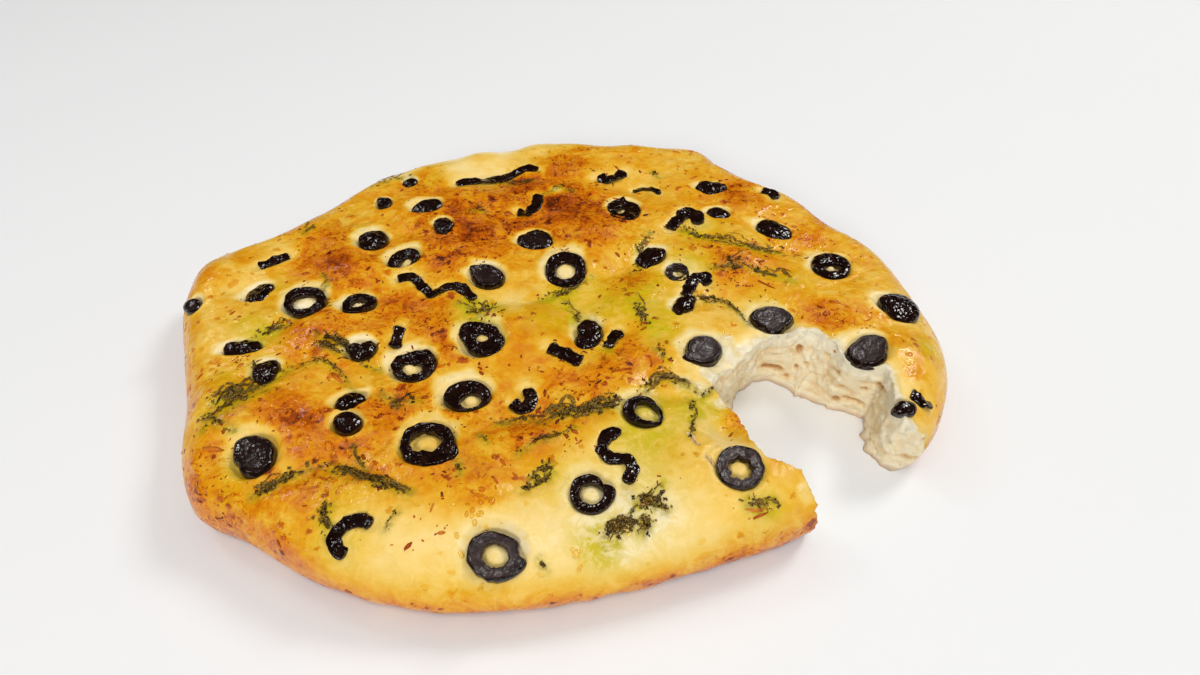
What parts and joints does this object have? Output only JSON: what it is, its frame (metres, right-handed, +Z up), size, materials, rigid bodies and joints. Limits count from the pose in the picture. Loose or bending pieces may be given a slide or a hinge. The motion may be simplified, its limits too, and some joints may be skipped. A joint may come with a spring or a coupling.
{
  "type": "olive focaccia",
  "caption": "Oval flatbread loaf with a dimpled golden crust, torn open on one side, topped with sliced black olives and herbs.",
  "frame": {"origin": "middle of the loaf's footprint box, on the table that it lies on", "axes": "+Z up out of the crust, +X towards the torn side, -Y towards the edge that faces the viewer in the picture"},
  "size_m": [0.3621, 0.2996, 0.0372],
  "materials": {
    "crust": "oiled golden crust",
    "olive": "wet black olive"
  },
  "bodies": {
    "root": {"bread": "crust", "olive_open_ring_01": "olive", "olive_open_ring_02": "olive", "olive_piece_01": "olive", "olive_piece_02": "olive", "olive_piece_03": "olive", "olive_piece_04": "olive", "olive_piece_05": "olive", "olive_piece_06": "olive", "olive_piece_07": "olive", "olive_piece_08": "olive", "olive_piece_09": "olive", "olive_piece_10": "olive", "olive_piece_11": "olive", "olive_piece_12": "olive", "olive_piece_13": "olive", "olive_piece_14": "olive", "olive_piece_15": "olive", "olive_piece_16": "olive", "olive_piece_17": "olive", "olive_piece_18": "olive", "olive_piece_19": "olive", "olive_piece_20": "olive", "olive_piece_21": "olive", "olive_piece_22": "olive", "olive_piece_23": "olive", "olive_piece_24": "olive", "olive_piece_25": "olive", "olive_piece_26": "olive", "olive_ring_01": "olive", "olive_ring_02": "olive", "olive_ring_03": "olive", "olive_ring_04": "olive", "olive_ring_05": "olive", "olive_ring_06": "olive", "olive_ring_07": "olive", "olive_ring_08": "olive", "olive_ring_09": "olive", "olive_ring_10": "olive", "olive_ring_11": "olive", "olive_ring_12": "olive", "olive_ring_13": "olive", "olive_strip_01": "olive", "olive_strip_02": "olive", "olive_strip_03": "olive", "olive_strip_04": "olive", "olive_strip_05": "olive", "olive_strip_06": "olive", "olive_strip_07": "olive", "olive_strip_08": "olive", "olive_strip_09": "olive", "olive_strip_10": "olive", "olive_strip_11": "olive", "olive_strip_12": "olive", "olive_strip_13": "olive", "olive_strip_14": "olive", "olive_strip_15": "olive", "olive_strip_16": "olive"}
  },
  "joints": []
}
